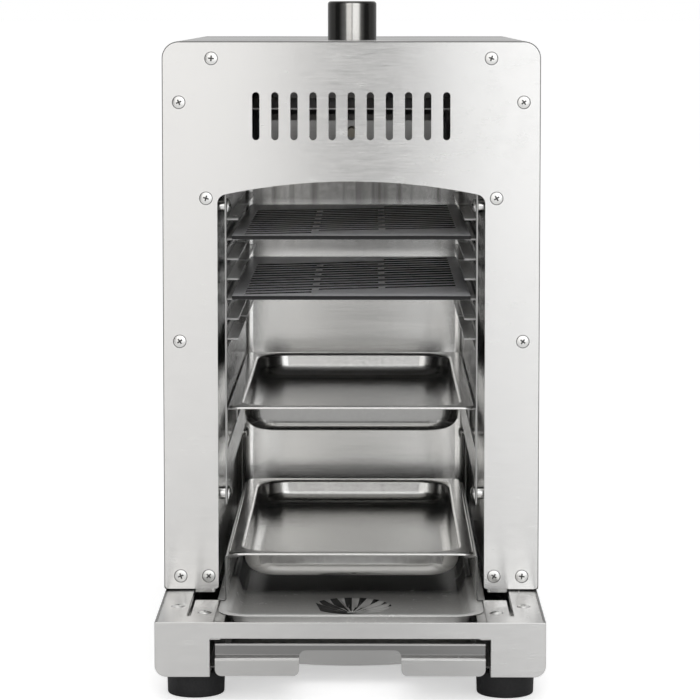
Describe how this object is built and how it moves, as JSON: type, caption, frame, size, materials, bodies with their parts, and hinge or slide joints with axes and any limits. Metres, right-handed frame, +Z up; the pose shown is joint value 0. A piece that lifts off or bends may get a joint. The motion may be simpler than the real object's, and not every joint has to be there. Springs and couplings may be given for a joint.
{
  "type": "infrared gas grill",
  "caption": "Tall stainless tabletop infrared gas grill with arched opening, slotted grates, shallow pans, side racks, grease drawer and a top control knob.",
  "frame": {"origin": "centre of the footprint, on the surface that the feet stand on", "axes": "+Z up, -Y towards the cooking opening and the drawer, +X to the right seen from the front"},
  "size_m": [0.268, 0.495, 0.4755],
  "materials": {
    "brushed_steel": "brushed along the width",
    "polished_steel": "polished",
    "satin_steel": "satin",
    "grate_steel": "dark satin",
    "gunmetal": "dark brushed",
    "black_rubber": "matte",
    "burner_ceramic": "fired, unglazed",
    "brass": "machined",
    "aluminium": "drawn"
  },
  "bodies": {
    "frame": {"front_panel": "brushed_steel", "outer_casing": "brushed_steel", "rear_panel": "brushed_steel", "base_frame": "brushed_steel", "base_corner_plate_left": "brushed_steel", "base_corner_plate_right": "brushed_steel", "drip_floor": "polished_steel", "drawer_runner_left": "satin_steel", "drawer_runner_right": "satin_steel", "chamber_liner": "polished_steel", "chamber_roof": "satin_steel", "rack_left": "satin_steel", "rack_right": "satin_steel", "pan_rail_left": "satin_steel", "pan_rail_right": "satin_steel", "foot_front_left": "black_rubber", "foot_front_right": "black_rubber", "foot_rear_left": "black_rubber", "foot_rear_right": "black_rubber", "panel_screw_top_left": "polished_steel", "panel_screw_top_right": "polished_steel", "panel_screw_shoulder_left": "polished_steel", "panel_screw_shoulder_right": "polished_steel", "panel_screw_arch_left": "polished_steel", "panel_screw_arch_right": "polished_steel", "panel_screw_side_left": "polished_steel", "panel_screw_side_right": "polished_steel", "panel_screw_foot_outer_left": "polished_steel", "panel_screw_foot_outer_right": "polished_steel", "panel_screw_foot_inner_left": "polished_steel", "panel_screw_foot_inner_right": "polished_steel", "base_screw_outer_left": "polished_steel", "base_screw_outer_right": "polished_steel", "base_screw_inner_left": "polished_steel", "base_screw_inner_right": "polished_steel", "rack_bolt_top_left": "polished_steel", "rack_bolt_top_right": "polished_steel", "rack_bolt_bottom_left": "polished_steel", "rack_bolt_bottom_right": "polished_steel", "burner_housing": "satin_steel", "burner_tile": "burner_ceramic", "burner_grille": "satin_steel", "mixing_tube": "aluminium", "heat_shield": "satin_steel", "igniter_electrode": "burner_ceramic", "gas_inlet": "brass", "supply_pipe": "aluminium", "gas_jet": "brass", "burner_pipe": "aluminium", "valve_bracket": "satin_steel", "valve_body": "brass"},
    "drawer": {"drawer_front": "brushed_steel", "drawer_tray": "satin_steel"},
    "upper_grate": {"grate_upper": "grate_steel"},
    "lower_grate": {"grate_lower": "grate_steel"},
    "upper_pan": {"pan_upper": "polished_steel"},
    "lower_pan": {"pan_lower": "polished_steel"},
    "plunger": {"valve_plunger": "brass"},
    "knob": {"control_knob": "gunmetal", "valve_stem": "brass"}
  },
  "joints": [
    {"name": "drawer_slide", "type": "slide", "parent": "frame", "child": "drawer", "axis": [0, -1, 0], "range_m": [0, 0.24]},
    {"name": "upper_grate_slide", "type": "slide", "parent": "frame", "child": "upper_grate", "axis": [0, -1, 0], "range_m": [0, 0.28]},
    {"name": "lower_grate_slide", "type": "slide", "parent": "frame", "child": "lower_grate", "axis": [0, -1, 0], "range_m": [0, 0.28]},
    {"name": "upper_pan_slide", "type": "slide", "parent": "frame", "child": "upper_pan", "axis": [0, -1, 0], "range_m": [0, 0.28]},
    {"name": "lower_pan_slide", "type": "slide", "parent": "frame", "child": "lower_pan", "axis": [0, -1, 0], "range_m": [0, 0.28]},
    {"name": "knob_push", "type": "slide", "parent": "frame", "child": "plunger", "axis": [0, 0, -1], "range_m": [0, 0.003], "stiffness_N_per_m": 1200, "springref_m": -0.005},
    {"name": "knob_turn", "type": "hinge", "parent": "plunger", "child": "knob", "pos_m": [0, -0.0405, 0.447], "axis": [0, 0, 1], "range_deg": [0, 180]}
  ]
}
